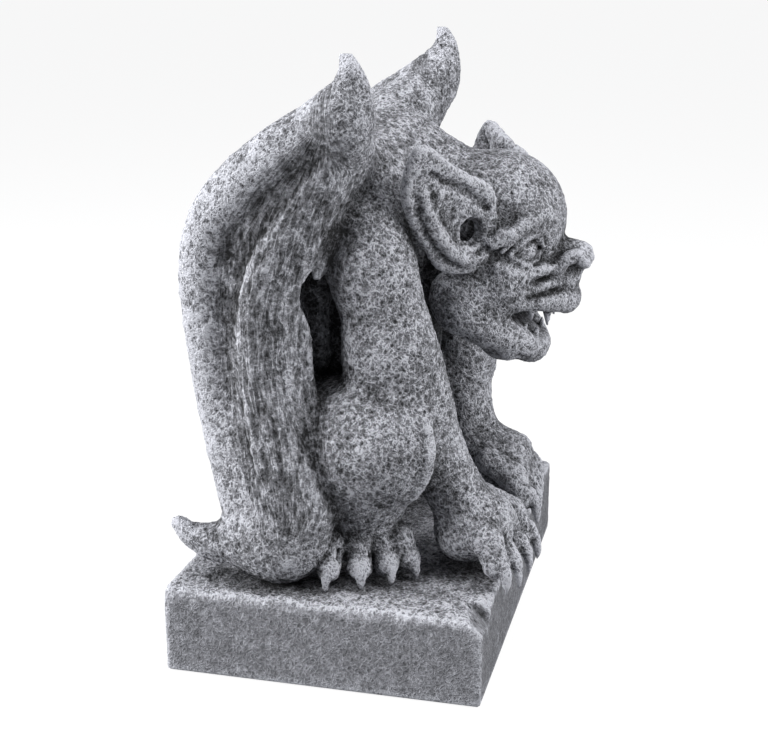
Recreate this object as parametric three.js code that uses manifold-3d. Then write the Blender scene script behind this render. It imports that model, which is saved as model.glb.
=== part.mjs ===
// A garden gargoyle of cast stone: a winged, pig-nosed beast that crouches on the plinth
// it is cast with. The whole figure is one solid. It faces -Y and its left side is +X.
import * as THREE from 'three';
import { LoftGeometry } from 'three/addons/geometries/LoftGeometry.js';
import { mergeVertices } from 'three/addons/utils/BufferGeometryUtils.js';
import Module from 'manifold-3d';

const wasm = await Module();
wasm.setup();

// Driving dimensions, in millimetres.
const PLINTH = { width: 290, depth: 200, height: 56, edge: 4, corner: 2.5 };
const CHIP = { length: 46, depth: 11, drop: 9 };
const TOE_COUNT = 4;
const CLAW = { fore: 20, hind: 13 };
const LEFT_FOREARM_BACK = 18;
const LEFT_EAR_TUCK = 8;
const RIGHT = -1;
const LEFT = 1;

const STONE = new THREE.MeshStandardMaterial({ color: 0x8b8d93, roughness: 0.75, metalness: 0 });

const at = (x, y, z) => new THREE.Vector3(x, y, z);
const smooth = THREE.MathUtils.smoothstep;

// ---- solids from geometry ---------------------------------------------------------------

function solid(geometry) {
  const bare = new THREE.BufferGeometry();
  bare.setAttribute('position', geometry.getAttribute('position'));
  bare.setIndex(geometry.getIndex());
  const merged = mergeVertices(bare, 1e-4);
  const corners = Array.from(merged.index.array);
  const faces = Array.from({ length: corners.length / 3 }, (_, face) => corners.slice(3 * face, 3 * face + 3));
  return new wasm.Manifold(new wasm.Mesh({
    numProp: 3,
    vertProperties: new Float32Array(merged.attributes.position.array),
    triVerts: new Uint32Array(faces.filter((face) => new Set(face).size === 3).flat()),
  }));
}

function ball(centre, radii, turn = [0, 0, 0], around = 10) {
  const geometry = new THREE.SphereGeometry(1, around, Math.round(around * 0.6));
  geometry.scale(...radii);
  const euler = new THREE.Euler(...turn.map(THREE.MathUtils.degToRad), 'ZYX');
  geometry.applyMatrix4(new THREE.Matrix4().makeRotationFromEuler(euler));
  geometry.translate(...centre);
  return solid(geometry);
}

// A limb: a round section swept through stations [x, y, z, radius], rounded off at its end.
function limb(stations, around = 10, rings = 2 * (stations.length - 1)) {
  const path = new THREE.CatmullRomCurve3(stations.map(([x, y, z]) => at(x, y, z)));
  const frames = path.computeFrenetFrames(rings);
  const last = stations.length - 1;

  const radiusAt = (u) => {
    const place = path.getUtoTmapping(u) * last;
    const index = Math.min(Math.floor(place), last - 1);
    return THREE.MathUtils.lerp(stations[index][3], stations[index + 1][3], smooth(place - index, 0, 1));
  };
  // The flats of a section stand as far inside the true round as its corners stand outside.
  const fullness = 1 / Math.sqrt(Math.cos(Math.PI / around));
  const ring = (index, reach, size) => {
    const radius = size * fullness;
    const centre = path.getPointAt(index / rings).addScaledVector(frames.tangents[index], reach);
    return Array.from({ length: around }, (_, side) => {
      const angle = (side / around) * 2 * Math.PI;
      return centre.clone()
        .addScaledVector(frames.normals[index], radius * Math.cos(angle))
        .addScaledVector(frames.binormals[index], radius * Math.sin(angle));
    });
  };
  const first = stations[0][3];
  const final = stations[last][3];
  const sections = [
    ring(0, -0.6 * first, 0),
    ...Array.from({ length: rings + 1 }, (_, index) => ring(index, 0, radiusAt(index / rings))),
    ring(rings, 0.72 * final, 0.68 * final),
    ring(rings, final, 0),
  ];
  return solid(new LoftGeometry(sections));
}

const join = (solids) => solids.reduce((whole, part) => whole.add(part));
const mirrored = (side, stations) => stations.map(([x, ...rest]) => [side * x, ...rest]);
const pair = (build) => join([build(RIGHT), build(LEFT)]);
const sideLimb = (side, stations, ...rest) => limb(mirrored(side, stations), ...rest);
const sideBall = (side, [x, y, z], radii, [turnX, turnY, turnZ] = [0, 0, 0], around = 10) =>
  ball([side * x, y, z], radii, [turnX, side * turnY, side * turnZ], around);

// ---- plinth -----------------------------------------------------------------------------

function block(width, depth, height) {
  return new THREE.BoxGeometry(width, depth, height).translate(0, 0, height / 2);
}

// A block whose top and upright edges are worn down to a narrow bevel.
function plinth() {
  const { width, depth, height, edge, corner } = PLINTH;
  const rectangle = (inset, z) => {
    const halfWidth = width / 2 - inset;
    const halfDepth = depth / 2 - inset;
    const quadrants = [[1, 1], [-1, 1], [-1, -1], [1, -1]];
    return quadrants.flatMap(([x, y]) => {
      const along = at(x * (halfWidth - corner), y * halfDepth, z);
      const across = at(x * halfWidth, y * (halfDepth - corner), z);
      return x * y > 0 ? [across, along] : [along, across];
    });
  };
  const sections = [rectangle(0, 0), rectangle(0, height - edge), rectangle(edge, height)];
  const body = solid(new LoftGeometry(sections, { capStart: true, capEnd: true }));
  const chip = block(CHIP.length, 2 * CHIP.depth, 2 * CHIP.drop);
  chip.rotateX(THREE.MathUtils.degToRad(40));
  chip.rotateZ(THREE.MathUtils.degToRad(7));
  chip.translate(-width / 2 + CHIP.length * 0.42, -depth / 2 - CHIP.depth * 0.35, height - CHIP.drop);
  return body.subtract(solid(chip));
}

// ---- body -------------------------------------------------------------------------------

function body() {
  return join([
    ball([0, 5, 200], [66, 47, 100], [0, 0, 0], 12),
    ball([0, 25, 108], [86, 54, 62], [0, 0, 0], 12),
    ball([0, -18, 252], [44, 32, 42], [0, 0, 0], 8),
    limb([[-56, -4, 282, 29], [-30, -6, 294, 34], [30, -6, 294, 34], [56, -4, 282, 29]], 10, 3),
    limb([[0, 8, 232, 38], [0, -2, 300, 34], [0, -32, 285, 39], [0, -68, 264, 37]], 10, 4),
  ]);
}

// ---- limbs ------------------------------------------------------------------------------

// A toe from knuckle to pad, and the claw that curves down from its tip.
function toe(knuckle, middle, pad, clawLength) {
  const [x, y, z, radius] = pad;
  const reach = at(x - middle[0], y - middle[1], 0).normalize();
  const claw = [[0, 0, 0.62], [0.32, -0.3, 0.48], [0.45, -1, 0.14]].map(([out, down, thickness]) => [
    x + reach.x * clawLength * out,
    y + reach.y * clawLength * out,
    z + clawLength * down,
    radius * thickness,
  ]);
  return limb([knuckle, middle, pad], 6, 2).add(limb(claw, 4, 2));
}

// The forelegs are long and bowed, and their paws reach over the plinth's front edge.
function foreleg(side) {
  const back = side === LEFT ? LEFT_FOREARM_BACK : 0;
  const arm = sideLimb(side, [
    [60, -4, 286, 31], [78, -16, 255, 28], [80, -25, 225, 26], [80, -32, 195, 28],
    [79, -42, 168, 25], [76, -54 + back * 0.6, 138, 20], [70, -66 + back, 112, 18], [65, -76 + back, 92, 20],
  ], 10, 9);
  const palm = sideBall(side, [61, -76 + back * 0.4, 80], [33, 31, 24], [-18, 0, 0]);
  const toes = Array.from({ length: TOE_COUNT }, (_, index) => {
    const spread = index / (TOE_COUNT - 1);
    const arch = Math.sin(spread * Math.PI);
    const rise = side === LEFT ? 4 : 0;
    return toe(
      [side * (78 - 46 * spread), -74 - 7 * arch - 3 * spread + rise, 90 + rise, 10],
      [side * (87 - 57 * spread), -84 - 15 * arch - 12 * spread + rise, 84 + rise, 10.5],
      [side * (94 - 64 * spread), -93 - 13 * arch - 12 * spread + rise, 72 + rise / 2, 8.5],
      CLAW.fore,
    );
  });
  return join([arm, palm, ...toes]);
}

// The hind legs are folded: an oval haunch, a short shank and a foot that points outwards.
function hindLeg(side) {
  const thigh = sideLimb(side, [[50, 34, 116, 44], [80, 0, 138, 42], [92, -22, 146, 36]], 12, 3);
  const knee = sideLimb(side, [[90, -22, 142, 36], [87, -14, 110, 28], [85, -10, 80, 20]], 10, 3);
  const toes = Array.from({ length: TOE_COUNT }, (_, index) => {
    const angle = THREE.MathUtils.degToRad(2 + 18 * index);
    const out = at(side * Math.cos(angle), -Math.sin(angle), 0);
    const root = at(side * (86 - 2 * index), 2 - 9 * index, 0);
    const length = 34 - 4 * index;
    const along = (share, z, radius) => [
      root.x + out.x * length * share, root.y + out.y * length * share, z, radius,
    ];
    return toe(along(0, 84, 9.5), along(0.6, 80, 8.5 + (index % 2)), along(1, 69, 8), CLAW.hind);
  });
  return join([thigh, knee, ...toes]);
}

// ---- wings ------------------------------------------------------------------------------

// A section shrunk to its middle, which closes the end of a loft.
function closing(section) {
  const middle = section.reduce((sum, point) => sum.add(point), at(0, 0, 0)).divideScalar(section.length);
  return section.map(() => middle.clone());
}

// The folded wing is a thick leaf. Its ribs run from the wrist at the top to the lobe that
// rests on the plinth: the rear rim first, and the front edge last.
const WING_RIBS = [
  [[122, -14, 350, 13], [121, 20, 329, 16], [119, 51, 304, 17], [115, 71, 277, 17], [112, 77, 242, 17],
    [111, 73, 190, 16], [112, 65, 150, 16], [114, 55, 112, 17], [115, 46, 84, 20]],
  [[120, -12, 340, 12], [120, 10, 318, 12], [119, 35, 290, 12], [118, 52, 262, 11], [116, 58, 225, 11],
    [116, 54, 180, 12], [118, 47, 140, 15], [118, 40, 106, 18], [118, 38, 82, 20]],
  [[116, -10, 330, 10], [116, 3, 308, 10], [117, 22, 282, 10], [119, 39, 252, 10], [120, 43, 215, 11],
    [120, 40, 172, 12], [119, 32, 134, 15], [119, 28, 104, 17], [118, 28, 82, 18]],
  [[108, -8, 322, 9], [108, 1, 298, 8], [110, 14, 274, 8], [113, 28, 244, 9], [115, 32, 208, 10],
    [116, 27, 168, 11], [117, 20, 134, 13], [118, 17, 104, 14], [118, 20, 84, 15]],
  [[98, -6, 314, 8], [97, 2, 290, 7], [100, 10, 264, 7], [104, 20, 232, 8], [107, 23, 200, 9],
    [110, 16, 166, 8], [113, 10, 134, 9], [116, 8, 108, 10], [117, 14, 86, 12]],
];
const WING_SECTIONS = 11;

function wingBlade(side) {
  const ribs = WING_RIBS.map((stations) => ({
    path: new THREE.CatmullRomCurve3(stations.map(([x, y, z]) => at(side * x, y, z))),
    radii: stations.map((station) => station[3]),
  }));
  const radiusAt = ({ radii }, share) => {
    const place = share * (radii.length - 1);
    const index = Math.min(Math.floor(place), radii.length - 2);
    return THREE.MathUtils.lerp(radii[index], radii[index + 1], place - index);
  };
  // Around one section: the ribs stand proud outside, and the inner face is plain.
  const section = (share) => {
    const centres = ribs.map(({ path }) => path.getPoint(share));
    const radii = ribs.map((rib) => radiusAt(rib, share));
    const end = centres.length - 1;
    const chord = centres[end].clone().sub(centres[0]).normalize();
    const outward = chord.clone().cross(ribs[2].path.getTangent(share)).normalize();
    outward.multiplyScalar(Math.sign(outward.x) * side);
    const offset = (index, across, out) => centres[index].clone()
      .addScaledVector(chord, across * radii[index])
      .addScaledVector(outward, out * radii[index]);
    const groove = (index) => centres[index].clone().lerp(centres[index + 1], 0.5)
      .addScaledVector(outward, 0.68 * Math.min(radii[index], radii[index + 1]));
    const outside = centres.flatMap((_, index) => (
      index < end ? [offset(index, 0, 1), groove(index)] : [offset(index, 0, 1)]
    ));
    const inside = centres.map((_, index) => offset(end - index, 0, -1));
    const points = [
      offset(0, -1, 0), offset(0, -0.7, 0.7), ...outside,
      offset(end, 0.7, 0.7), offset(end, 1, 0), offset(end, 0.7, -0.7), ...inside,
      offset(0, -0.7, -0.7),
    ];
    return side === LEFT ? points : points.reverse();
  };
  const sections = Array.from({ length: WING_SECTIONS }, (_, index) => section(index / (WING_SECTIONS - 1)));
  return solid(new LoftGeometry([closing(sections[0]), ...sections, closing(sections.at(-1))]));
}

function wing(side) {
  const root = sideLimb(side, [[46, 12, 296, 30], [84, 6, 318, 25], [117, -9, 340, 17]], 8, 3);
  const spike = sideLimb(side, [
    [121, -10, 344, 16], [125, -17, 362, 10], [127, -16, 373, 5.5], [126, -14, 378, 2.6],
  ], 7, 4);
  const foot = ball([side * 117, 32, 84], [21, 27, 27], [0, 0, 0], 8);
  const spur = sideLimb(side, [
    [115, 48, 84, 18], [118, 74, 79, 12.5], [120, 90, 84, 7.5], [120, 98, 90, 4.5],
  ], 7, 4);
  const web = sideBall(side, [76, 34, 196], [46, 13, 112], [-4, 0, 0], 10);
  return join([wingBlade(side), root, spike, foot, spur, web]);
}

// ---- head -------------------------------------------------------------------------------

// A wide leaf of an ear: one rim, filled out behind and hollowed in front down to its hole.
function ear(side) {
  const tuck = side === LEFT ? LEFT_EAR_TUCK : 0;
  const rim = new THREE.CatmullRomCurve3(mirrored(side, [
    [46, -79, 291], [70, -61, 309], [91, -51, 323], [88, -41 - tuck, 297],
    [80, -44, 278], [68, -51, 261], [57, -60, 249], [45, -77, 254],
  ]).map(([x, y, z]) => at(x, y, z)), true);
  const outline = rim.getPoints(12).slice(0, 12);
  const middle = at(side * 67, -60, 281);
  const hole = at(side * 54, -68, 271);
  const outward = at(side * 0.8, -0.58, 0.1).normalize();
  const ring = ([scale, lift, towardsHole]) => {
    const centre = middle.clone().lerp(hole, towardsHole).addScaledVector(outward, lift);
    return outline.map((point) => point.clone().sub(middle).multiplyScalar(scale).add(centre));
  };
  const rings = [
    [0.45, -14, 0.3], [0.88, -8, 0], [1.02, 0, 0], [0.94, 3, 0],
    [0.76, -2, 0.2], [0.35, -9, 0.8],
  ].map(ring);
  const sections = side === RIGHT ? rings : rings.map((points) => points.reverse());
  return solid(new LoftGeometry([closing(sections[0]), ...sections, closing(sections.at(-1))]));
}

function brow(side) {
  return sideLimb(side, [
    [44, -88, 259, 6], [35, -102, 270, 8.5], [20, -112, 273, 8], [13, -114, 262, 7], [16, -110, 253, 5],
  ], 5, 5);
}

function muzzle() {
  const side = (way) => join([
    sideLimb(way, [[31, -92, 226, 9], [20, -112, 222, 8.5], [7, -124, 219, 10]], 6, 2),
    sideLimb(way, [[30, -92, 240, 9], [16, -114, 238, 8], [10, -128, 243, 6.5]], 5, 2),
    ball([way * 9, -130, 243], [7, 7, 8], [0, 0, 0], 6),
    sideBall(way, [27, -78, 238], [20, 27, 29], [0, 0, 0], 7),
  ]);
  return join([
    limb([[0, -96, 244, 24], [0, -114, 240, 18], [0, -122, 236, 14]], 8, 2),
    limb([[0, -110, 252, 9], [0, -124, 251, 10], [0, -132, 248, 10]], 7, 2),
    pair(side),
    ball([0, -124, 222], [10, 9, 11], [0, 0, 0], 8),
  ]);
}

function jaw() {
  const half = (side) => sideLimb(side, [
    [40, -60, 216, 19], [35, -79, 205, 15], [25, -95, 198, 10], [12, -104, 192, 8.5], [-2, -106, 190, 8.5],
  ], 6, 5);
  return join([
    pair(half),
    ball([0, -78, 196], [33, 30, 20], [0, 0, 0], 8),
    ball([0, -62, 222], [38, 32, 34], [0, 0, 0], 8),
  ]);
}

function head() {
  const skull = ball([0, -81, 271], [43, 42, 42], [0, 0, 0], 12);
  const mouth = ball([0, -112, 206], [27, 27, 7.5], [26, 0, 0], 8);
  const sockets = pair((side) => sideBall(side, [31, -106, 256], [10, 9, 7], [0, 0, 0], 6));
  const eyes = pair((side) => sideBall(side, [30, -99, 256], [8, 8, 6.5], [0, 0, 0], 6));
  const bare = join([skull, muzzle(), jaw()]).subtract(mouth).subtract(sockets);
  return join([bare, eyes, pair(brow), pair(ear)]);
}

// ---- the casting ------------------------------------------------------------------------

function mesh(name, cast, material) {
  const { numProp, vertProperties, triVerts } = cast.getMesh();
  const geometry = new THREE.BufferGeometry();
  geometry.setAttribute('position', new THREE.BufferAttribute(vertProperties, numProp));
  geometry.setIndex(new THREE.BufferAttribute(triVerts, 1));
  geometry.computeVertexNormals();
  const result = new THREE.Mesh(geometry, material);
  result.name = name;
  return result;
}

const figure = join([body(), pair(foreleg), pair(hindLeg), pair(wing), head()]);
const gargoyle = new THREE.Group();
gargoyle.add(mesh('gargoyle', plinth().add(figure), STONE));

export default gargoyle;
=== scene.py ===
# A garden gargoyle cast in grey stone: a winged, pig-nosed beast that crouches on its plinth.
# The casting is one skin over blended forms. It is then roughened, darkened in its hollows by a dark wash
# and by painted shade, and paled on its ridges by rubbing and by a painted highlight; its wing rims get a
# painted highlight.
import math

import bpy
import numpy as np
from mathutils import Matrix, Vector


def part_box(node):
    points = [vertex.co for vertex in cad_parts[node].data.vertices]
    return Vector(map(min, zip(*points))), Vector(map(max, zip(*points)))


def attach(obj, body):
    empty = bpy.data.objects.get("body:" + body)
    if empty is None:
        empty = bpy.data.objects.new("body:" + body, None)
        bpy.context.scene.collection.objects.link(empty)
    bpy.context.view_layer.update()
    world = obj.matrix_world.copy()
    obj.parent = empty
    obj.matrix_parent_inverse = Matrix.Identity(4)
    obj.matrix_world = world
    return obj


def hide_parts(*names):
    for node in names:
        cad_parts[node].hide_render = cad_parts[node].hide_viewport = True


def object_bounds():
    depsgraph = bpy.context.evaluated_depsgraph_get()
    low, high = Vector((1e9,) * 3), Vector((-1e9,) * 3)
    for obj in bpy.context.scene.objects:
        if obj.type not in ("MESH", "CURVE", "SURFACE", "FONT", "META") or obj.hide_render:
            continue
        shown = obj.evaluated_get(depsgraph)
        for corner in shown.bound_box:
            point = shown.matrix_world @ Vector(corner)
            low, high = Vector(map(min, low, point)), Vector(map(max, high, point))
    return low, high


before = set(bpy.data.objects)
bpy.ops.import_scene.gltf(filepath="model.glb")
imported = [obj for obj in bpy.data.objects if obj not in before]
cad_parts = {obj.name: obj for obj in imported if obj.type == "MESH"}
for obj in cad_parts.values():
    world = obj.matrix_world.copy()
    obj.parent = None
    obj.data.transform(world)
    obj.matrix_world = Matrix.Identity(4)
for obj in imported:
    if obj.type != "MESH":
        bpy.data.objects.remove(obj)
CAD_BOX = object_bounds()

# The figure faces -Y and its left side is +X. Its forms are given in millimetres of a figure
# of the height below, and scaled to the frame.
RIGHT, LEFT = -1, 1
DESIGN_HEIGHT = 380.4
CASTING_LOW, CASTING_HIGH = (np.array(corner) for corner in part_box("gargoyle"))
MM = float(CASTING_HIGH[2] - CASTING_LOW[2]) / DESIGN_HEIGHT
PLINTH = {"half_width": float(CASTING_HIGH[0]) / MM, "half_depth": 100.0, "height": 56.0}
LEFT_FOREARM_BACK = 17
LEFT_PAW_BACK = 9
LEFT_EAR_TUCK = 8
LEFT_EAR_LEAN = 7
TOES = 4
WORN_SPOTS = 11
GRID_STEP = 1.25
FACE_LIMIT = 196000
FAR = 40.0


# ---- clay: forms blended on a grid ---------------------------------------------------------

def mirrored(side, stations):
    return [[side * row[0], *row[1:]] for row in stations]


def spline(stations, per_span=5):
    """Points on a smooth curve through rows of numbers."""
    rows = np.array(stations, float)
    if len(rows) == 2:
        return rows[0] + (rows[1] - rows[0]) * np.linspace(0, 1, per_span + 1)[:, None]
    rows = np.vstack([2 * rows[0] - rows[1], rows, 2 * rows[-1] - rows[-2]])
    t = np.linspace(0, 1, per_span, endpoint=False)[:, None]
    spans = []
    for a, b, c, d in zip(rows, rows[1:], rows[2:], rows[3:]):
        spans.append(0.5 * (2 * b + (c - a) * t + (2 * a - 5 * b + 4 * c - d) * t ** 2
                            + (3 * b - a - 3 * c + d) * t ** 3))
    return np.vstack([*spans, rows[-2]])


def turned(degrees):
    """The matrix of turns about X, then Y, then Z."""
    x, y, z = np.radians(degrees)
    about_x = np.array([[1, 0, 0], [0, math.cos(x), -math.sin(x)], [0, math.sin(x), math.cos(x)]])
    about_y = np.array([[math.cos(y), 0, math.sin(y)], [0, 1, 0], [-math.sin(y), 0, math.cos(y)]])
    about_z = np.array([[math.cos(z), -math.sin(z), 0], [math.sin(z), math.cos(z), 0], [0, 0, 1]])
    return about_z @ about_y @ about_x


class Clay:
    """A block of space that holds, at each point of a grid, the distance to the surface."""

    def __init__(self, low, high, step):
        self.low = np.array(low, float)
        self.step = step
        counts = np.ceil((np.array(high) - self.low) / step).astype(int) + 1
        self.axes = [(self.low[i] + step * np.arange(n)).astype(np.float32) for i, n in enumerate(counts)]
        self.distance = np.full(counts, FAR, np.float32)

    def window(self, points, margin):
        low = (np.min(points, axis=0) - margin - self.low) / self.step
        high = (np.max(points, axis=0) + margin - self.low) / self.step
        starts = np.clip(np.floor(low).astype(int), 0, self.distance.shape)
        ends = np.clip(np.ceil(high).astype(int) + 1, starts, self.distance.shape)
        return tuple(slice(a, b) for a, b in zip(starts, ends))

    def offsets(self, window, centre):
        x, y, z = (axis[cut] - np.float32(c) for axis, cut, c in zip(self.axes, window, centre))
        return x[:, None, None], y[None, :, None], z[None, None, :]

    def put(self, window, form, blend, carve):
        """Adds a form, or carves it away, with a fillet of the given size."""
        old = self.distance[window]
        if carve:
            form = -form
        ease = np.maximum(blend - np.abs(old - form), 0)
        ease = ease * ease / (4 * max(blend, 1e-3))
        self.distance[window] = np.maximum(old, form) + ease if carve else np.minimum(old, form) - ease

    def limb(self, stations, blend=8, carve=False):
        """A round limb through rows of x, y, z and radius."""
        path = spline(stations)
        reach = path[:, 3].max() + blend + 2 * self.step
        whole = self.window(path[:, :3], reach)
        form = np.full([cut.stop - cut.start for cut in whole], FAR, np.float32)
        for start, end in zip(path, path[1:]):
            near = self.window([start[:3], end[:3]], max(start[3], end[3]) + blend + 2 * self.step)
            x, y, z = self.offsets(near, start[:3])
            run = (end - start).astype(np.float32)
            length = float(run[:3] @ run[:3]) + 1e-9
            t = np.clip((x * run[0] + y * run[1] + z * run[2]) / length, 0, 1)
            gap = np.sqrt((x - t * run[0]) ** 2 + (y - t * run[1]) ** 2 + (z - t * run[2]) ** 2)
            local = tuple(slice(n.start - w.start, n.stop - w.start) for n, w in zip(near, whole))
            form[local] = np.minimum(form[local], gap - (start[3] + t * run[3]))
        self.put(whole, form, blend, carve)

    def ball(self, centre, radii, turn=(0, 0, 0), blend=8, carve=False):
        """An egg with its own three radii, turned by degrees."""
        axes = turned(turn)
        radii = np.array(radii, float)
        extent = np.sqrt(((axes * radii) ** 2).sum(axis=1)) + blend + 2 * self.step
        window = self.window([np.array(centre) - extent, np.array(centre) + extent], 0)
        x, y, z = self.offsets(window, centre)
        inner = [x * axes[0, i] + y * axes[1, i] + z * axes[2, i] for i in range(3)]
        near = np.sqrt(sum((part / r) ** 2 for part, r in zip(inner, radii)))
        slope = np.sqrt(sum((part / r ** 2) ** 2 for part, r in zip(inner, radii))) + 1e-6
        self.put(window, (near * (near - 1) / slope).astype(np.float32), blend, carve)

    def block(self, centre, half, rounding, turn=(0, 0, 0), blend=0.0, carve=False):
        axes = turned(turn)
        half = np.array(half, float)
        extent = np.abs(axes) @ half + blend + 2 * self.step
        window = self.window([np.array(centre) - extent, np.array(centre) + extent], 0)
        x, y, z = self.offsets(window, centre)
        over = [np.abs(x * axes[0, i] + y * axes[1, i] + z * axes[2, i]) - (half[i] - rounding)
                for i in range(3)]
        outside = np.sqrt(sum(np.maximum(part, 0) ** 2 for part in over))
        inside = np.minimum(np.maximum(np.maximum(over[0], over[1]), over[2]), 0)
        self.put(window, (outside + inside - rounding).astype(np.float32), blend, carve)

    def leaf(self, rim, middle, thickness, blend):
        """A thin dish: flat triangles from each stretch of the rim to a middle point."""
        rim = np.array(rim, float)
        window = self.window(np.vstack([rim, [middle]]), thickness + blend + 2 * self.step)
        x, y, z = self.offsets(window, middle)
        points = np.stack(np.broadcast_arrays(x, y, z), axis=-1)
        form = np.full(points.shape[:3], FAR, np.float32)
        for a, b in zip(rim - middle, np.roll(rim, -1, axis=0) - middle):
            form = np.minimum(form, triangle_distance(points, a.astype(np.float32), b.astype(np.float32)))
        self.put(window, form - thickness, blend, False)


def triangle_distance(points, a, b):
    """The distance from each point to the triangle of the origin, a and b."""
    edges = [(np.zeros(3, np.float32), a), (a, b - a), (b, -b)]
    normal = np.cross(a, b)
    inside = np.ones(points.shape[:3], bool)
    nearest = np.full(points.shape[:3], FAR ** 2, np.float32)
    for start, run in edges:
        gap = points - start
        inside &= gap @ np.cross(normal, run) >= 0
        share = np.clip(gap @ run / (run @ run), 0, 1)[..., None]
        nearest = np.minimum(nearest, ((gap - share * run) ** 2).sum(axis=-1))
    flat = np.abs(points @ normal) / np.sqrt(normal @ normal)
    return np.where(inside, flat, np.sqrt(nearest))


# ---- the forms of the figure ---------------------------------------------------------------

def model_plinth(clay):
    width, depth, height = PLINTH["half_width"], PLINTH["half_depth"], PLINTH["height"]
    clay.block([0, 0, height / 2], [width, depth, height / 2], 2.5)
    # The top edge is worn to a slant, and unevenly.
    random = np.random.default_rng(7)
    for side in (RIGHT, LEFT):
        for index in range(WORN_SPOTS):
            y = -depth + 2 * depth * index / (WORN_SPOTS - 1)
            worn = [side * (width + 2), y, height + random.uniform(1, 4)]
            clay.ball(worn, [5, 13, 6], blend=4, carve=True)
    # A piece is broken from the front edge at its right corner.
    clay.block([-width + 10, -depth - 2, height], [21, 14, 9], 1.5, turn=[44, 6, 5], blend=1.5, carve=True)
    clay.ball([-width + 30, -depth - 1, height + 1], [7, 6, 6], blend=2, carve=True)


def model_body(clay):
    clay.ball([0, 5, 200], [66, 47, 100], blend=10)
    clay.ball([0, 25, 108], [86, 54, 62], blend=12)
    clay.ball([0, -18, 252], [44, 32, 42], blend=12)
    clay.limb([[-54, -3, 281, 29], [-30, -6, 294, 34], [30, -6, 294, 34], [54, -3, 281, 29]], blend=12)
    clay.limb([[0, 8, 232, 38], [0, -2, 300, 34], [0, -32, 285, 38], [0, -68, 266, 36]], blend=12)
    # The back is plain but for the spine's knobs.
    for index in range(9):
        clay.ball([0, 41 + 8 * math.sin(index * 0.42), 296 - 19 * index], [7, 8, 8], blend=7)


def model_toe(clay, knuckle, middle, pad, claw_length):
    """A toe of two bulging joints, and the claw that curves down out of its sheath."""
    clay.limb([knuckle, middle, pad], blend=2.5)
    for joint, swell in ((middle, 1.2), (pad, 0.6)):
        clay.ball(joint[:3], [joint[3] + swell] * 3, blend=3)
    x, y, z, radius = pad
    reach = np.array([x - middle[0], y - middle[1]])
    reach /= np.linalg.norm(reach)
    claw = [[x + reach[0] * claw_length * out, y + reach[1] * claw_length * out,
             z + claw_length * down, radius * thick]
            for out, down, thick in (
                (0.2, 0.2, 0.62), (0.42, -0.15, 0.52), (0.52, -0.55, 0.32), (0.52, -0.85, 0.12),
            )]
    clay.limb(claw, blend=1)


def model_foreleg(clay, side):
    back = LEFT_FOREARM_BACK if side == LEFT else 0
    paw_back = LEFT_PAW_BACK if side == LEFT else 0
    clay.limb(mirrored(side, [
        [58, -2, 288, 30], [77, -14, 258, 28], [80, -24, 225, 26], [81, -32, 195, 28],
        [79, -42, 168, 25], [76, -54 + back * 0.6, 138, 20.5], [70, -66 + back, 112, 18.5],
        [65, -76 + back, 92, 20],
    ]), blend=7)
    clay.ball([side * 84, -26, 196], [22, 25, 30], blend=10)
    clay.ball([side * 63, -80 + paw_back, 83], [30, 26, 20], turn=[-24, 0, 0], blend=8)
    for index in range(TOES):
        spread = index / (TOES - 1)
        inner = min(1, 3 * spread)
        model_toe(
            clay,
            [side * (80 - 46 * spread), -76 - 4 * spread + paw_back, 92, 9],
            [side * (88 - 56 * spread), -92 - 5 * spread + paw_back, 84 - 2 * inner, 8.8],
            [side * (93 - 62 * spread), -99 - 6 * spread + paw_back, 71 - 3 * inner, 7.4],
            19 + 2 * inner,
        )


def model_hind_leg(clay, side):
    clay.limb(mirrored(side, [[50, 34, 116, 44], [80, 0, 138, 42], [92, -22, 146, 36]]), blend=8)
    clay.limb(mirrored(side, [[90, -22, 142, 36], [87, -14, 110, 28], [85, -10, 80, 20]]), blend=8)
    clay.ball([side * 97, -21, 144], [26, 39, 43], turn=[14, 0, 0], blend=4)
    clay.ball([side * 100, 0, 112], [16, 17, 15], blend=8)
    # The thigh stands over the foreleg in a sharp ledge.
    clay.limb(mirrored(side, [
        [96, -47, 176, 3], [104, -56, 160, 4], [106, -58, 140, 4.5], [102, -50, 120, 4], [96, -36, 106, 3],
    ]), blend=5)
    clay.limb(mirrored(side, [
        [92, -60, 172, 2.5], [98, -66, 150, 3], [96, -62, 126, 3], [90, -48, 106, 2.5],
    ]), blend=3, carve=True)
    for index in range(TOES):
        angle = math.radians(2 + 18 * index)
        out = np.array([side * math.cos(angle), -math.sin(angle)])
        root = np.array([side * (86 - 2 * index), 2 - 9 * index])
        length = 34 - 4 * index
        middle, tip = root + out * length * 0.6, root + out * length
        model_toe(clay, [*root, 86, 8.5], [*middle, 80, 7.6 + index % 2], [*tip, 69, 6.6], 14)
        between = math.radians(11 + 18 * index)
        out = np.array([side * math.cos(between), -math.sin(between)])
        cleft = [[*(root + out * length * reach), z, 1.2] for reach, z in ((0.2, 92), (0.6, 86), (0.95, 75))]
        clay.limb(cleft, blend=2.5, carve=True)


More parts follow.
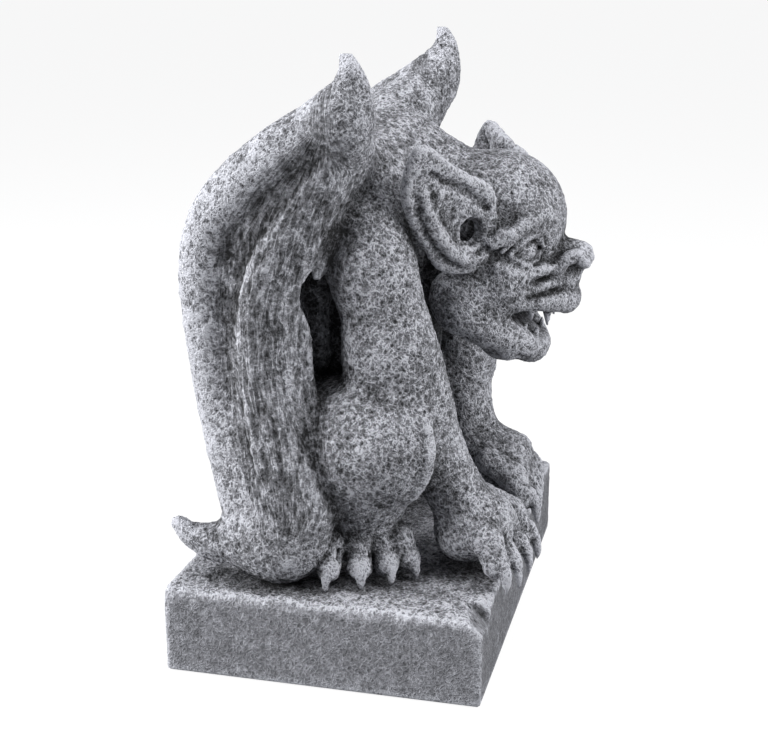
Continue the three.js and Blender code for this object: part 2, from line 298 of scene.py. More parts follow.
# Rows of x, y, z and radius from the wing's wrist down to the lobe on the plinth: the rear
# rim first, and the front edge last.
WING_RIBS = np.array([
    [[122, -14, 350, 13], [121, 20, 329, 15], [119, 51, 304, 16], [115, 71, 277, 16], [112, 77, 242, 16],
     [111, 73, 190, 15], [112, 65, 150, 16], [114, 55, 112, 17], [115, 46, 84, 20]],
    [[118, -12, 340, 11], [117, 10, 318, 11], [116, 35, 290, 11], [114, 54, 262, 10], [112, 60, 225, 10],
     [113, 56, 180, 12], [117, 48, 140, 15], [118, 40, 106, 18], [118, 38, 82, 20]],
    [[116, -10, 330, 10], [116, 3, 308, 10], [117, 22, 282, 10], [119, 39, 252, 10], [120, 45, 215, 11],
     [120, 42, 172, 12], [120, 33, 134, 15], [119, 28, 104, 17], [118, 28, 82, 18]],
    [[108, -8, 322, 9], [108, 1, 298, 8], [110, 14, 274, 8], [113, 28, 244, 9], [115, 32, 208, 10],
     [117, 28, 168, 11], [119, 20, 134, 13], [119, 17, 106, 14], [118, 20, 84, 15]],
    [[98, -6, 314, 8], [97, 2, 290, 7], [100, 10, 264, 7], [103, 20, 232, 7], [105, 22, 200, 8],
     [108, 16, 166, 7], [111, 10, 134, 8], [115, 8, 108, 10], [117, 14, 86, 12]],
], float)
RIB_SPANS = WING_RIBS.shape[1] - 1


def rib_between(place):
    """The rib at a fractional place between the named ones."""
    first = min(int(place), len(WING_RIBS) - 2)
    share = place - first
    return WING_RIBS[first] * (1 - share) + WING_RIBS[first + 1] * share


def raised_rib(place, radius, proud, start=0, end=RIB_SPANS + 1):
    """A thin cord that lies on the wing's outer face and stands a little proud of it."""
    rib = rib_between(place)[start:end].copy()
    rib[:, 0] += rib[:, 3] - radius + proud
    rib[:, 3] = radius
    return rib.tolist()


def model_wing(clay, side):
    for rib in WING_RIBS:
        clay.limb(mirrored(side, rib.tolist()), blend=7)
    clay.limb(mirrored(side, [[46, 12, 296, 30], [84, 6, 318, 25], [117, -9, 340, 16]]), blend=12)
    clay.limb(mirrored(side, [
        [121, -10, 344, 15], [125, -17, 361, 10], [127, -17, 372, 6], [126, -14, 380, 2.6],
    ]), blend=8)
    clay.ball([side * 117, 32, 84], [21, 27, 27], blend=8)
    clay.limb(mirrored(side, [
        [115, 48, 84, 18], [118, 72, 79, 12.5], [120, 88, 83, 8], [120, 98, 90, 4.5],
    ]), blend=8)
    clay.ball([side * 76, 34, 196], [46, 12, 112], turn=[-4, 0, 0], blend=10)
    # Strands of the folded skin run down the middle of the blade.
    for index in range(7):
        strand = raised_rib(1.72 + 0.34 * index, 3.2, 1.5 if index % 2 else 2.1, 0, 7 - index % 2)
        clay.limb(mirrored(side, strand), blend=2)
    # The blade's lower leaf laps over the inner skin along a slanting edge.
    clay.limb(mirrored(side, [
        [124, 36, 187, 5], [126, 24, 151, 6.5], [126, 13, 126, 8], [124, 10, 104, 11], [120, 20, 84, 13],
    ]), blend=5)
    clay.limb(mirrored(side, [
        [116, 21, 180, 3], [117, 16, 160, 3], [116, 13, 140, 3.5], [115, 9, 124, 4],
    ]), blend=2)
    # The hollow between the wing's front edge and the shoulder, and the flank inside it.
    clay.ball([side * 92, 19, 246], [18, 9, 34], turn=[-8, 0, 0], blend=6, carve=True)
    clay.ball([side * 64, 22, 236], [13, 15, 30], blend=6)
    clay.ball([side * 70, 24, 200], [10, 13, 22], blend=6)


# ---- the head ------------------------------------------------------------------------------

def model_ear(clay, side):
    tuck = LEFT_EAR_TUCK if side == LEFT else 0
    lean = LEFT_EAR_LEAN if side == LEFT else 0
    rim = mirrored(side, [
        [44, -82 - lean, 290 + lean], [58, -71 - lean, 302 + lean * 0.6], [70, -61 - lean, 310 + lean * 0.3],
        [91, -49 - lean, 323 - lean], [90, -41 - tuck, 300],
        [80, -44, 278], [70, -51, 261], [58, -59, 249], [46, -76, 252],
    ])
    closed = spline(rim[-1:] + rim + rim[:2], 3)[3:-4]
    hole = np.array([side * 56, -62, 273])
    clay.leaf(closed, hole, 3.4, blend=4)
    clay.limb([[*point, 2.9] for point in closed] + [[*closed[0], 2.9]], blend=2)
    clay.limb(mirrored(side, [
        [86, -49, 300, 3], [78, -53, 280, 4], [68, -60, 264, 4.5], [56, -69, 254, 4.2], [47, -79, 255, 3],
    ]), blend=3)
    # The bowl of the ear is deepest under its upper rim and in front, by the hole.
    clay.limb(mirrored(side, [
        [48, -81, 284, 2.2], [60, -71, 295, 2.6], [72, -62, 302, 2.4], [84, -53, 310, 1.6],
    ]), blend=2, carve=True)
    clay.limb(mirrored(side, [
        [76, -58, 296, 2.2], [77, -54, 284, 2.8], [68, -58, 268, 3], [58, -66, 259, 2.8], [51, -75, 262, 2],
    ]), blend=3)
    clay.ball([side * 52, -72, 270], [6, 8, 9], blend=2.5, carve=True)
    clay.limb(mirrored(side, [[60, -69, 280, 2], [57, -71, 266, 2.2]]), blend=2, carve=True)


def model_eye(clay, side):
    clay.ball([side * 31, -108, 256], [13, 10, 10], blend=4, carve=True)
    clay.ball([side * 26, -99, 256], [12, 10, 9], blend=1.5)
    lids = {
        "upper": [[41, -94, 255, 1.8], [36, -102, 263, 2.4], [28, -108, 265, 2.6], [20, -112, 257, 2]],
        "lower": [[41, -94, 254, 1.8], [35, -102, 248, 2.1], [27, -107, 247, 2.1], [20, -111, 255, 1.8]],
        "second": [[45, -90, 257, 1.4], [38, -100, 267, 1.8], [28, -108, 270, 1.8], [19, -113, 263, 1.4]],
    }
    for lid in lids.values():
        clay.limb(mirrored(side, lid), blend=1.2)
    clay.ball([side * 29, -107.2, 256], [2.8, 2.4, 2.8], blend=0.8)
    clay.ball([side * 29.6, -109.6, 256], [1.4, 1.8, 1.4], blend=0.6, carve=True)
    # Pouches and creases below the eye.
    clay.limb(mirrored(side, [[44, -88, 247, 3], [34, -100, 242, 3.6], [23, -111, 244, 3]]), blend=3)
    under_eye = mirrored(side, [[42, -92, 243.5, 1], [33, -102, 244.5, 1.3], [24, -112, 248, 1]])
    clay.limb(under_eye, blend=1.5, carve=True)
    beside_eye = mirrored(side, [[46, -85, 263, 1], [50, -80, 258, 1.3], [52, -75, 248, 1]])
    clay.limb(beside_eye, blend=2, carve=True)


def model_brow(clay, side):
    clay.limb(mirrored(side, [
        [47, -84, 262, 4], [40, -96, 270, 6], [26, -108, 277, 6.5], [16, -113, 274, 6],
        [12, -114, 264, 5], [13, -112, 256, 5], [17, -109, 251, 3.5],
    ]), blend=4)
    # A hollow runs over the brow at the temple, with creases up the skull.
    clay.ball([side * 46, -93, 281], [7, 9, 7], turn=[30, 0, 0], blend=7, carve=True)
    creases = [
        [[40, -98, 284, 1.4], [42, -90, 293, 2], [38, -86, 304, 1]],
        [[33, -105, 287, 1.2], [36, -98, 297, 1.8], [34, -92, 307, 1]],
        [[24, -113, 289, 1], [27, -108, 298, 1.3], [26, -102, 307, 0.8]],
    ]
    for crease in creases:
        clay.limb(mirrored(side, crease), blend=2.5, carve=True)


def model_muzzle(clay):
    clay.limb([[0, -96, 244, 24], [0, -112, 240, 18], [0, -120, 236, 14]], blend=8)
    clay.limb([[0, -106, 252, 8], [0, -122, 250, 9], [0, -132, 248, 9.5]], blend=5)
    for side in (RIGHT, LEFT):
        clay.ball([side * 27, -78, 238], [20, 27, 29], blend=8)
        # The wing of the nose curls round the nostril.
        clay.limb(mirrored(side, [
            [13, -119, 240, 3.5], [15, -125, 247, 4.2], [12, -132, 250, 4.6], [9, -137, 245, 4],
        ]), blend=3)
        # The snarl throws up two folds, and the upper lip below them.
        clay.limb(mirrored(side, [
            [14, -121, 243, 4], [22, -112, 243, 4.6], [31, -100, 239, 4.4], [39, -88, 235, 3],
        ]), blend=4)
        clay.limb(mirrored(side, [
            [12, -122, 234, 3.2], [22, -112, 232, 3.4], [32, -99, 229, 3.2], [40, -84, 224, 2.4],
        ]), blend=3)
        clay.limb(mirrored(side, [
            [5, -125, 220, 8.5], [17, -117, 221, 6.5], [27, -103, 222, 5.5], [36, -89, 220, 4.5],
        ]), blend=4)
        for fold in (
            [[14, -126, 230, 0.8], [22, -116, 227, 1], [34, -98, 225, 0.6]],
            [[18, -119, 247, 0.8], [25, -112, 247, 1.1], [37, -97, 242, 0.6]],
            [[42, -84, 240, 1.2], [45, -77, 228, 1.8], [43, -74, 214, 1.2]],
        ):
            clay.limb(mirrored(side, fold), blend=2, carve=True)
        clay.ball([side * 6.5, -136, 239], [4.4, 6, 5], turn=[25, 0, 0], blend=1.5, carve=True)
    clay.ball([0, -124, 221], [9, 9, 10], blend=5)


def model_jaw(clay):
    clay.ball([0, -62, 226], [38, 32, 30], blend=8)
    clay.ball([0, -90, 195], [31, 22, 17], turn=[-8, 0, 0], blend=8)
    for side in (RIGHT, LEFT):
        clay.ball([side * 40, -62, 225], [13, 18, 20], blend=6)
        clay.limb(mirrored(side, [
            [39, -66, 216, 14], [34, -80, 206, 13], [24, -95, 197, 9], [12, -104, 191, 8], [-2, -106, 189, 8],
        ]), blend=6)


def open_mouth(clay):
    clay.ball([0, -113, 204.5], [28, 27, 10], turn=[30, 0, 0], blend=2.5, carve=True)
    clay.ball([0, -97, 200], [13, 15, 5], turn=[30, 0, 0], blend=2)
    for side in (RIGHT, LEFT):
        # The lower lip turns out over the chin, and a fold runs down from each corner.
        clay.limb(mirrored(side, [
            [38, -86, 217, 3.5], [31, -94, 206, 3.8], [21, -102, 196, 3.8], [9, -109, 191, 3.8],
            [-1, -111, 190, 3.8],
        ]), blend=2.5)
        clay.limb(mirrored(side, [[40, -80, 213, 3.4], [34, -86, 199, 4], [24, -92, 186, 3.4]]), blend=3)
        for crease in (
            [[42, -78, 206, 1.2], [35, -83, 193, 1.8], [27, -88, 183, 1]],
            [[38, -88, 207, 1], [31, -95, 195, 1.6], [20, -102, 185, 1]],
            [[47, -66, 214, 1.2], [43, -70, 200, 1.8], [34, -76, 188, 1]],
        ):
            clay.limb(mirrored(side, crease), blend=2, carve=True)
        for x, y, low, high in ((11, -107, 192, 203), (20, -101, 197, 206)):
            clay.limb([[side * x, y, low, 2.8], [side * x, y - 1.5, high, 1]], blend=1)
        for x, y, high, low in ((15, -115, 215, 205), (24, -106, 218, 210)):
            clay.limb([[side * x, y, high, 3], [side * x, y - 0.5, low, 1]], blend=1)
    clay.ball([0, -103, 185], [13, 9, 8], blend=5)


def model_head(clay):
    clay.ball([0, -81, 271], [43, 42, 42], blend=9)
    model_jaw(clay)
    model_muzzle(clay)
    for side in (RIGHT, LEFT):
        model_brow(clay, side)
        model_eye(clay, side)
    open_mouth(clay)
    for side in (RIGHT, LEFT):
        model_ear(clay, side)


def model_figure(step):
    width, height = PLINTH["half_width"], DESIGN_HEIGHT
    clay = Clay([-width - 5, -152, -5], [width + 5, 112, height + 8], step)
    model_body(clay)
    for side in (RIGHT, LEFT):
        model_wing(clay, side)
        model_hind_leg(clay, side)
        model_foreleg(clay, side)
    model_head(clay)
    model_plinth(clay)
    return clay


# ---- the skin ------------------------------------------------------------------------------

def blurred(field, reach):
    """The field averaged over a box of 2 * reach + 1 cells each way."""
    for axis in range(3):
        widened = [(reach + 1, reach) if i == axis else (0, 0) for i in range(3)]
        sums = np.cumsum(np.pad(field, widened, mode="edge"), axis=axis, dtype=np.float32)
        count = field.shape[axis]
        ahead = np.take(sums, range(2 * reach + 1, 2 * reach + 1 + count), axis=axis)
        field = (ahead - np.take(sums, range(count), axis=axis)) / (2 * reach + 1)
    return field


def sampled(clay, field, points):
    """The field's value at each point, blended from the eight grid points round it."""
    place = (points - clay.low) / clay.step
    cell = np.clip(np.floor(place).astype(int), 0, np.array(field.shape) - 2)
    share = np.clip(place - cell, 0, 1)
    total = np.zeros(len(points))
    for corner in np.ndindex(2, 2, 2):
        weight = np.prod(np.where(corner, share, 1 - share), axis=1)
        total += weight * field[tuple((cell + corner).T)]
    return total


def surface_net(clay):
    """A closed mesh of four-sided faces at the clay's surface: points, and faces of four indices."""
    field = clay.distance
    inside = field < 0
    shape = np.array(field.shape) - 1
    corners = [inside[tuple(slice(c, c + n) for c, n in zip(corner, shape))]
               for corner in np.ndindex(2, 2, 2)]
    count = np.sum(corners, axis=0, dtype=np.int8)
    cells = np.argwhere((count > 0) & (count < 8))
    index = np.full(shape, -1, np.int32)
    index[tuple(cells.T)] = np.arange(len(cells))
    total, hits = np.zeros((len(cells), 3)), np.zeros(len(cells))
    faces = []
    for axis in range(3):
        step = np.eye(3, dtype=int)[axis]
        for corner in np.ndindex(2, 2, 2):
            if corner[axis]:
                continue
            start = cells + corner
            a, b = field[tuple(start.T)], field[tuple((start + step).T)]
            crossed = (a < 0) != (b < 0)
            share = np.where(crossed, a / np.where(crossed, a - b, 1), 0)
            total += np.where(crossed[:, None], np.array(corner) + share[:, None] * step, 0)
            hits += crossed
        low = tuple(slice(1, -1) if i != axis else slice(0, -1) for i in range(3))
        high = tuple(slice(1, -1) if i != axis else slice(1, None) for i in range(3))
        u, v = (np.eye(3, dtype=int)[(axis + k) % 3] for k in (1, 2))
        for goes_out in (True, False):
            here, there = inside[low], inside[high]
            at = np.argwhere(here & ~there if goes_out else ~here & there) + (1 - step)
            ring = [at - u - v, at - v, at, at - u]
            quad = np.stack([index[tuple(cell.T)] for cell in ring], axis=1)
            faces.append(quad if goes_out else quad[:, ::-1])
    points = clay.low + (cells + total / hits[:, None]) * clay.step
    return points, np.vstack(faces)


def largest_shell(points, faces):
    """Drops every shell but the one with the most points, such as a bubble sealed in the casting."""
    label = np.arange(len(points))
    while True:
        lowest = label[faces].min(axis=1)
        spread = label.copy()
        np.minimum.at(spread, faces.ravel(), np.repeat(lowest, 4))
        spread = spread[spread]
        if np.array_equal(spread, label):
            break
        label = spread
    keep = label == np.bincount(label).argmax()
    renumbered = np.cumsum(keep) - 1
    return points[keep], renumbered[faces[keep[faces[:, 0]]]]


def plain_mesh(name, points, faces):
    mesh = bpy.data.meshes.new(name)
    mesh.vertices.add(len(points))
    mesh.vertices.foreach_set("co", np.ascontiguousarray(points, np.float32).ravel())
    mesh.loops.add(faces.size)
    mesh.loops.foreach_set("vertex_index", faces.astype(np.int32).ravel())
    mesh.polygons.add(len(faces))
    mesh.polygons.foreach_set("loop_start", np.arange(0, faces.size, 4, dtype=np.int32))
    mesh.polygons.foreach_set("loop_total", np.full(len(faces), 4, np.int32))
    mesh.update(calc_edges=True)
    mesh.validate()
    return mesh


def eased(values, low, high):
    """0 below the first bound and 1 above the second, with a smooth step between."""
    share = np.clip((values - low) / (high - low), 0, 1)
    return share * share * (3 - 2 * share)


def roughness_of_casting(points):
    """How much relief each point carries: none underneath, little on the plinth's sides."""
    x, y, z = points.T
    relief = np.ones(len(points))
    on_plinth = 1 - eased(z, PLINTH["height"] - 5, PLINTH["height"] - 1)
    relief = np.where(on_plinth > 0, 1 - 0.62 * on_plinth, relief)
    relief *= eased(z, 0.5, 6)
    eyes = np.linalg.norm(np.stack([np.abs(x), y, z], axis=1) - [29, -104, 256], axis=1)
    relief *= 0.25 + 0.75 * eased(eyes, 7, 15)
    mouth = np.linalg.norm((points - [0, -112, 206]) / [28, 18, 14], axis=1)
    relief *= 0.45 + 0.55 * eased(mouth, 0.7, 1.3)
    on_head = eased(-y, 66, 84) * eased(z, 176, 190)
    relief *= 1 - 0.4 * on_head
    return relief


def wing_skin(points):
    """Which points lie on the wings' blades, and places there that run along the strands."""
    x, y, z = points.T
    rear, front = ((rib[::-1, 2], rib[::-1, 1]) for rib in (WING_RIBS[0], WING_RIBS[-1]))
    back_edge, front_edge = np.interp(z, *rear), np.interp(z, *front)
    across = (y - front_edge) / np.maximum(back_edge - front_edge, 12)
    blade = eased(np.abs(x), 92, 104) * eased(across, -0.5, -0.15) * eased(z, 84, 104)
    blade = blade * (1 - eased(across, 1.3, 1.7))
    return blade, across, np.stack([x * 0.5, across * 62, z * 0.22], axis=1)


def write_attribute(mesh, name, values):
    kind, field = ("FLOAT", "value") if values.ndim == 1 else ("FLOAT_VECTOR", "vector")
    layer = mesh.attributes.get(name) or mesh.attributes.new(name, kind, "POINT")
    layer.data.foreach_set(field, np.ascontiguousarray(values, np.float32).ravel())


def mesh_points(mesh):
    points = np.empty(3 * len(mesh.vertices), np.float32)
    mesh.vertices.foreach_get("co", points)
    return points.reshape(-1, 3).astype(float)


# ---- sums in node trees --------------------------------------------------------------------

class Value:
    """A number's socket in a node tree, which can be used in sums."""

    def __init__(self, bench, socket):
        self.bench = bench
        self.socket = socket

    def math(self, operation, *others):
        return self.bench.node("ShaderNodeMath", {"operation": operation}, dict(enumerate((self, *others))))

    def __add__(self, other):
        return self.math("ADD", other)

    __radd__ = __add__

    def __mul__(self, other):
        return self.math("MULTIPLY", other)

    __rmul__ = __mul__

    def __sub__(self, other):
        return self.math("SUBTRACT", other)

    def __rsub__(self, other):
        return self * -1 + other

    def between(self, low, high, from_value=0.0, to_value=1.0):
        """A smooth step from one value to the other as this one goes from low to high."""
        return self.bench.node("ShaderNodeMapRange", {"interpolation_type": "SMOOTHSTEP"},
                               {0: self, 1: low, 2: high, 3: from_value, 4: to_value})


class Bench:
    """A node tree, and the one way in which nodes are put in it."""

    def __init__(self, tree):
        self.tree = tree

    def node(self, kind, settings=None, values=None, output=0):
        made = self.tree.nodes.new(kind)
        for name, setting in (settings or {}).items():
            setattr(made, name, setting)
        for key, value in (values or {}).items():
            if isinstance(value, Value):
                self.tree.links.new(value.socket, made.inputs[key])
            else:
                made.inputs[key].default_value = value
        return Value(self, made.outputs[output]) if made.outputs else made

    def attribute(self, name):
        return self.node("ShaderNodeAttribute", {"attribute_name": name}, output="Fac")

    def noise(self, where, size, detail=3.0, roughness=0.55, output="Fac"):
        """Cloudy noise whose features are about the given size, in metres."""
        return self.node("ShaderNodeTexNoise", {}, {
            "Vector": where, "Scale": 1 / size, "Detail": detail, "Roughness": roughness,
        }, output=output)

    def cells(self, where, size, feature="F1"):
        """Cells about the given size across, in metres."""
        return self.node("ShaderNodeTexVoronoi", {"feature": feature}, {
            "Vector": where, "Scale": 1 / size,
        }, output="Distance")

    def wandering(self, where, size, amount):
        """The place, pushed about by noise, so that a pattern on it loses its regularity."""
        push = self.noise(where, size, 2.0, output="Color")
        centred = self.node("ShaderNodeVectorMath", {"operation": "SUBTRACT"}, {0: push, 1: (0.5, 0.5, 0.5)})
        scaled = self.node("ShaderNodeVectorMath", {"operation": "SCALE"}, {0: centred, "Scale": 2 * amount})
        return self.node("ShaderNodeVectorMath", {"operation": "ADD"}, {0: where, 1: scaled})

    def ramp(self, level, stops):
        """A colour for each level, from stops of place and colour."""
        made = self.tree.nodes.new("ShaderNodeValToRGB")
        band = made.color_ramp
        while len(band.elements) < len(stops):
            band.elements.new(0.5)
        for element, (place, colour) in zip(band.elements, stops):
            element.position = place
            element.color = colour
        self.tree.links.new(level.socket, made.inputs[0])
        return Value(self, made.outputs[0])


def skin_pattern(bench, where):
    """The skin of the casting: broad lumps, and a net of raised wrinkles from 0 to 1."""
    loose = bench.wandering(where, 9 * MM, 3.2 * MM)
    lumps = bench.noise(loose, 15 * MM, 2.0) - 0.5
    net = bench.cells(loose, 6.2 * MM, "DISTANCE_TO_EDGE").between(0.0, 0.3, 1.0, 0.0)
    veins = (bench.noise(loose, 4.6 * MM, 2.0) - 0.5).math("ABSOLUTE").between(0.0, 0.1, 1.0, 0.0)
    return lumps, net * 0.5 + veins * 0.5


# ---- relief --------------------------------------------------------------------------------

RELIEF_SIZES = {"Lump height": 1.7, "Wrinkle height": 0.95}


def relief_tree():
    """Moves every point of the skin along its normal by the casting's relief."""
    tree = bpy.data.node_groups.new("casting_relief", "GeometryNodeTree")
    face = tree.interface
    face.new_socket("Geometry", in_out="INPUT", socket_type="NodeSocketGeometry")
    face.new_socket("Geometry", in_out="OUTPUT", socket_type="NodeSocketGeometry")
    for name in RELIEF_SIZES:
        face.new_socket(name, in_out="INPUT", socket_type="NodeSocketFloat")
    face.new_socket("Stone", in_out="INPUT", socket_type="NodeSocketMaterial")
    bench = Bench(tree)
    given = tree.nodes.new("NodeGroupInput")
    size = {name: Value(bench, given.outputs[name]) for name in RELIEF_SIZES}
    skin = Value(bench, given.outputs["Geometry"])
    where = bench.node("GeometryNodeInputPosition")
    lumps, wrinkles = skin_pattern(bench, where)
    carried = bench.node("GeometryNodeInputNamedAttribute", {"data_type": "FLOAT"}, {"Name": "relief"})
    height = (lumps * size["Lump height"] + (wrinkles - 0.35) * size["Wrinkle height"]) * carried
    normal = bench.node("GeometryNodeInputNormal")
    offset = bench.node("ShaderNodeVectorMath", {"operation": "SCALE"}, {0: normal, "Scale": height})
    moved = bench.node("GeometryNodeSetPosition", {}, {"Geometry": skin, "Offset": offset})
    real = bench.node("GeometryNodeRealizeInstances", {}, {0: moved})
    dressed = bench.node("GeometryNodeSetMaterial", {}, {
        "Geometry": real, "Material": Value(bench, given.outputs["Stone"]),
    })
    out = tree.nodes.new("NodeGroupOutput")
    tree.links.new(dressed.socket, out.inputs[0])
    return tree


def finished_mesh(name, mesh, stone):
    """Puts the relief on the skin, thins it to the face limit, and returns a plain mesh."""
    raw = bpy.data.objects.new(name + "_raw", mesh)
    bpy.context.scene.collection.objects.link(raw)
    relief = raw.modifiers.new("relief", "NODES")
    relief.node_group = relief_tree()
    given = {"Stone": stone, **{name: size * MM for name, size in RELIEF_SIZES.items()}}
    for item in relief.node_group.interface.items_tree:
        if item.in_out == "INPUT" and item.name in given:
            relief[item.identifier] = given[item.name]
    thin = raw.modifiers.new("thin", "DECIMATE")
    thin.ratio = min(1.0, FACE_LIMIT / (2 * len(mesh.polygons)))
    thin.use_collapse_triangulate = True
    shaped = raw.evaluated_get(bpy.context.evaluated_depsgraph_get())
    plain = bpy.data.meshes.new_from_object(shaped)
    bpy.data.objects.remove(raw)
    plain.name = name
    return plain


def cast_gargoyle(stone):
    clay = model_figure(GRID_STEP)
    points, faces = largest_shell(*surface_net(clay))
    skin = plain_mesh("gargoyle_skin", points * MM, faces)
    write_attribute(skin, "relief", roughness_of_casting(points))
    mesh = finished_mesh("gargoyle_casting", skin, stone)
    # The relief is trimmed back to the solid's own box.
    places = np.clip(mesh_points(mesh), CASTING_LOW, CASTING_HIGH)
    mesh.vertices.foreach_set("co", places.astype(np.float32).ravel())
    # Where the casting is shut in it is darkened, by a dark wash and by painted shade; where it stands out it
    # is paled, by rubbing and by a painted highlight.
    filled = (clay.distance < 0).astype(np.float32)
    at = places / MM
    normals = np.empty(3 * len(mesh.vertices), np.float32)
    mesh.vertices.foreach_get("normal", normals)
    outward = normals.reshape(-1, 3)
    near, wide = blurred(filled, 3), blurred(blurred(filled, 8), 5)
    write_attribute(mesh, "fold", sampled(clay, near, at))
    # How shut in the space just outside each point is: it darkens the colour as a dark wash and as painted
    # shade.
    write_attribute(mesh, "hollow", sampled(clay, wide, at + outward * 6))
    blade, across, strand_place = wing_skin(at)
    write_attribute(mesh, "blade", blade * (1 - 0.75 * eased(across, 0.7, 0.95)))
    # The wings' outer rims are marked to be paler in colour: a painted highlight where the light falls on
    # them.
    write_attribute(mesh, "painted_rim_highlight", blade * eased(across, 0.62, 0.95))
    write_attribute(mesh, "strand_place", strand_place * MM)
    write_attribute(mesh, "plinth", 1 - eased(at[:, 2], PLINTH["height"] - 5, PLINTH["height"] + 1))
    mesh.update()
    casting = bpy.data.objects.new("gargoyle_casting", mesh)
    bpy.context.scene.collection.objects.link(casting)
    mesh.polygons.foreach_set("use_smooth", np.ones(len(mesh.polygons), bool))
    return casting


# ---- finishes ------------------------------------------------------------------------------

def grey(level, blue=1.0):
    """A grey with a little blue in it, as a colour socket takes it."""
    return (level * (1 - 0.03 * blue), level * (1 - 0.015 * blue), level * (1 + 0.07 * blue), 1.0)


def weathered_stone():
    stone = bpy.data.materials.new("weathered_cast_stone")
    stone.use_nodes = True
    tree = stone.node_tree
    bench = Bench(tree)
    shader = tree.nodes["Principled BSDF"]
    where = bench.node("ShaderNodeTexCoord", output="Object")
    fold, hollow, plinth = (bench.attribute(name) for name in ("fold", "hollow", "plinth"))
    _, wrinkles = skin_pattern(bench, where)

    blade, painted_rim_highlight = bench.attribute("blade"), bench.attribute("painted_rim_highlight")
    along = bench.node("ShaderNodeAttribute", {"attribute_name": "strand_place"}, output="Vector")
    along = bench.wandering(along, 9 * MM, 2 * MM)
    strands = (bench.noise(along, 4.2 * MM, 3.0) - 0.5).math("ABSOLUTE").between(0.0, 0.12, 1.0, 0.0)
    slits = bench.noise(along, 3.4 * MM, 2.0).between(0.6, 0.7)

    fine_way = bench.wandering(where, 3.2 * MM, 1.5 * MM)
    fine_net = bench.cells(fine_way, 2.6 * MM, "DISTANCE_TO_EDGE").between(0.0, 0.3, 1.0, 0.0)
    fine_veins = (bench.noise(fine_way, 2.2 * MM, 3.0) - 0.5).math("ABSOLUTE").between(0.0, 0.12, 1.0, 0.0)
    grit = bench.noise(where, 1.1 * MM, 4.0, 0.7)
    mottle = bench.noise(where, 7 * MM, 5.0, 0.68)
    clouds = bench.noise(where, 30 * MM, 4.0, 0.6)
    pits = bench.cells(fine_way, 5.5 * MM).between(0.12, 0.3, 1.0, 0.0) * clouds.between(0.4, 0.6)

    height = wrinkles * 0.24 + fine_net * 0.24 + fine_veins * 0.26 + grit * 0.3 - pits * 0.35
    height = height * (1 - blade * 0.4) + blade * (strands * 0.28 - slits * 0.22)
    # The colour is darkened in folds and hollows and paled on ridges: a dark wash and rubbing on the stone,
    # together with painted shade and a painted highlight. The wings' outer rims are paled further as a
    # painted highlight.
    rub_wash_and_painted_light = (0.5 - fold) * 1.4
    wash_and_painted_shade = hollow.between(0.04, 0.55) * 0.34
    open_level = height + (mottle - 0.5) * 0.4 + (clouds - 0.5) * 0.5 + rub_wash_and_painted_light - wash_and_painted_shade + painted_rim_highlight * 0.16
    plinth_level = 0.38 + (height - 0.4) * 0.35 + (mottle - 0.5) * 0.5 + rub_wash_and_painted_light
    level = open_level + (plinth_level - open_level) * plinth * 0.9
    tones = ((0.0, 0.012), (0.16, 0.04), (0.3, 0.095), (0.44, 0.15), (0.58, 0.25), (0.8, 0.5))
    body = bench.ramp(level, [(place, grey(tone)) for place, tone in tones])
    tree.links.new(body.socket, shader.inputs["Base Color"])

    rough = 0.86 - level.between(0.4, 0.9) * 0.12
    tree.links.new(rough.socket, shader.inputs["Roughness"])
    bump = bench.node("ShaderNodeBump", {}, {"Strength": 0.85, "Distance": 1.8 * MM, "Height": height})
    tree.links.new(bump.socket, shader.inputs["Normal"])
    shader.inputs["Specular IOR Level"].default_value = 0.3
    return stone


def paper_floor():
    paper = bpy.data.materials.new("pale_paper")
    paper.use_nodes = True
    shader = paper.node_tree.nodes["Principled BSDF"]
    shader.inputs["Base Color"].default_value = (0.12, 0.12, 0.12, 1)
    shader.inputs["Roughness"].default_value = 1.0
    shader.inputs["Specular IOR Level"].default_value = 0.0
    shader.inputs["Emission Color"].default_value = (1, 1, 1, 1)
    shader.inputs["Emission Strength"].default_value = 0.9
    return paper


# ---- the studio ----------------------------------------------------------------------------

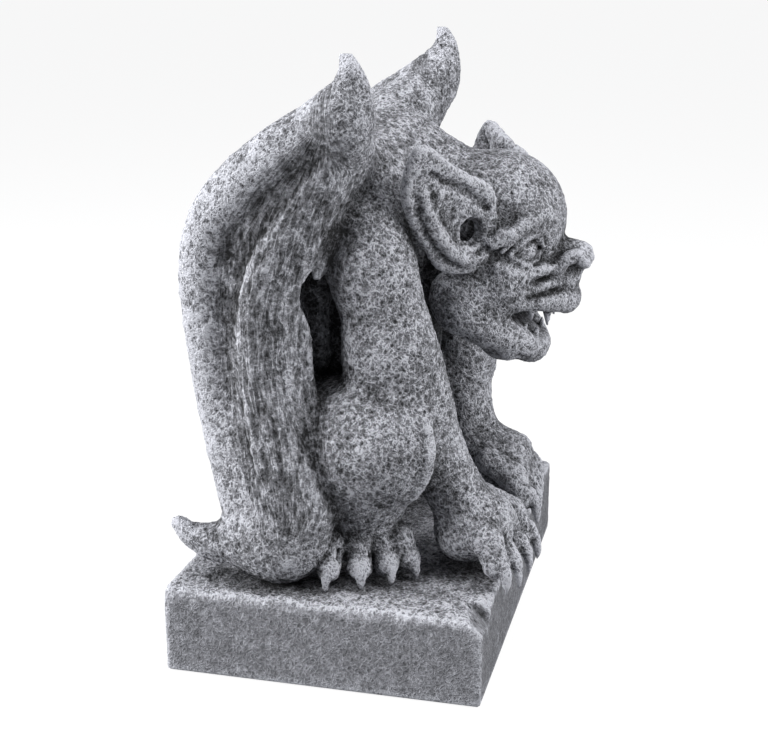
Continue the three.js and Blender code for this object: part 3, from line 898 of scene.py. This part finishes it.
VIEW = {"azimuth": 284.16, "elevation": 16.79, "distance": 0.97, "lens": 68.7}
AIM = Vector((-0.0153, -0.0083, 0.1629))


def toward(azimuth, elevation):
    """The direction from the figure towards a place around it."""
    turn, lift = math.radians(azimuth), math.radians(elevation)
    return Vector((math.sin(turn) * math.cos(lift), -math.cos(turn) * math.cos(lift), math.sin(lift)))


def set_camera():
    camera = bpy.data.objects.new("camera", bpy.data.cameras.new("camera"))
    camera.data.lens = VIEW["lens"]
    back = toward(VIEW["azimuth"], VIEW["elevation"])
    camera.location = AIM + back * VIEW["distance"]
    camera.rotation_euler = back.to_track_quat("Z", "Y").to_euler()
    bpy.context.scene.collection.objects.link(camera)
    bpy.context.scene.camera = camera


def soft_light(name, azimuth, elevation, distance, size, power):
    lamp = bpy.data.objects.new(name, bpy.data.lights.new(name, "AREA"))
    lamp.data.shape = "SQUARE"
    lamp.data.size = size
    lamp.data.energy = power
    out = toward(azimuth, elevation)
    lamp.location = AIM + out * distance
    lamp.rotation_euler = out.to_track_quat("Z", "Y").to_euler()
    bpy.context.scene.collection.objects.link(lamp)


def set_studio():
    scene = bpy.context.scene
    scene.view_settings.view_transform = "Standard"
    scene.view_settings.look = "None"
    world = bpy.data.worlds.new("pale_room")
    world.use_nodes = True
    world.node_tree.nodes["Background"].inputs["Color"].default_value = (0.92, 0.94, 1.0, 1)
    world.node_tree.nodes["Background"].inputs["Strength"].default_value = 0.26
    scene.world = world
    soft_light("back_left", 205, 20, 1.6, 1.2, 54)
    soft_light("front_right", 354, 22, 1.6, 1.2, 32)
    soft_light("above", 280, 84, 1.5, 1.2, 15)
    bpy.ops.mesh.primitive_plane_add(size=200, location=(0, 0, CAD_BOX[0][2] - 0.0005))
    floor = bpy.context.object
    floor.name = "floor"
    floor.visible_diffuse = False
    floor.data.materials.append(paper_floor())


set_camera()
set_studio()
STONE = weathered_stone()
gargoyle = cast_gargoyle(STONE)
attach(gargoyle, "root")
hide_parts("gargoyle")
